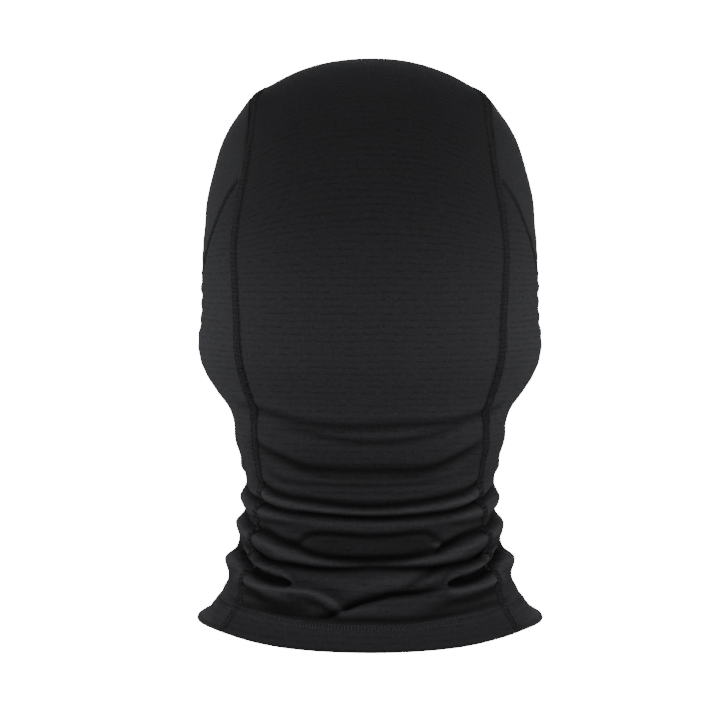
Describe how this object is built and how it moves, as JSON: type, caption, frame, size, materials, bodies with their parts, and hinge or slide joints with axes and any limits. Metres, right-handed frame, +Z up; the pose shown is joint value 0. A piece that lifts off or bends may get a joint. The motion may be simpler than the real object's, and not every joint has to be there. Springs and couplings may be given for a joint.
{
  "type": "balaclava",
  "caption": "Close-fitting knit balaclava: panelled hood with flatlock seams, bound eye opening, gathered neck and a turned hem that flares over the collar.",
  "frame": {"origin": "middle of the overall box in plan, at the height of the hem that the part stands on", "axes": "+Z up from the hem to the crown, the face looks to -Y, +X is the wearer's left"},
  "size_m": [0.1706, 0.2054, 0.2784],
  "materials": {
    "center_panel": "brushed-back grid knit, matte",
    "side_panel_left": "grid knit, matte with a soft sheen",
    "side_panel_right": "grid knit, matte with a soft sheen",
    "temple_panel_left": "smooth knit, soft sheen",
    "temple_panel_right": "smooth knit, soft sheen",
    "main_seam_left": "flatlock and coverstitch thread, matte",
    "main_seam_right": "flatlock and coverstitch thread, matte",
    "temple_seam_left": "flatlock and coverstitch thread, matte",
    "temple_seam_right": "flatlock and coverstitch thread, matte",
    "front_seam": "flatlock and coverstitch thread, matte",
    "hem_stitch": "flatlock and coverstitch thread, matte",
    "main_seam_inner_left": "flatlock and coverstitch thread, matte",
    "main_seam_inner_right": "flatlock and coverstitch thread, matte",
    "temple_seam_inner_left": "flatlock and coverstitch thread, matte",
    "temple_seam_inner_right": "flatlock and coverstitch thread, matte",
    "front_seam_inner": "flatlock and coverstitch thread, matte",
    "hem_stitch_inner": "flatlock and coverstitch thread, matte",
    "eye_binding": "fold-over elastic, matte",
    "eye_binding_stitch": "thread, matte",
    "blank_label": "woven tape, matte, blank"
  },
  "bodies": {
    "root": {"center_panel": "center_panel", "side_panel_left": "side_panel_left", "side_panel_right": "side_panel_right", "temple_panel_left": "temple_panel_left", "temple_panel_right": "temple_panel_right", "main_seam_left": "main_seam_left", "main_seam_right": "main_seam_right", "temple_seam_left": "temple_seam_left", "temple_seam_right": "temple_seam_right", "front_seam": "front_seam", "hem_stitch": "hem_stitch", "main_seam_inner_left": "main_seam_inner_left", "main_seam_inner_right": "main_seam_inner_right", "temple_seam_inner_left": "temple_seam_inner_left", "temple_seam_inner_right": "temple_seam_inner_right", "front_seam_inner": "front_seam_inner", "hem_stitch_inner": "hem_stitch_inner", "eye_binding": "eye_binding", "eye_binding_stitch": "eye_binding_stitch", "blank_label": "blank_label"}
  },
  "joints": []
}
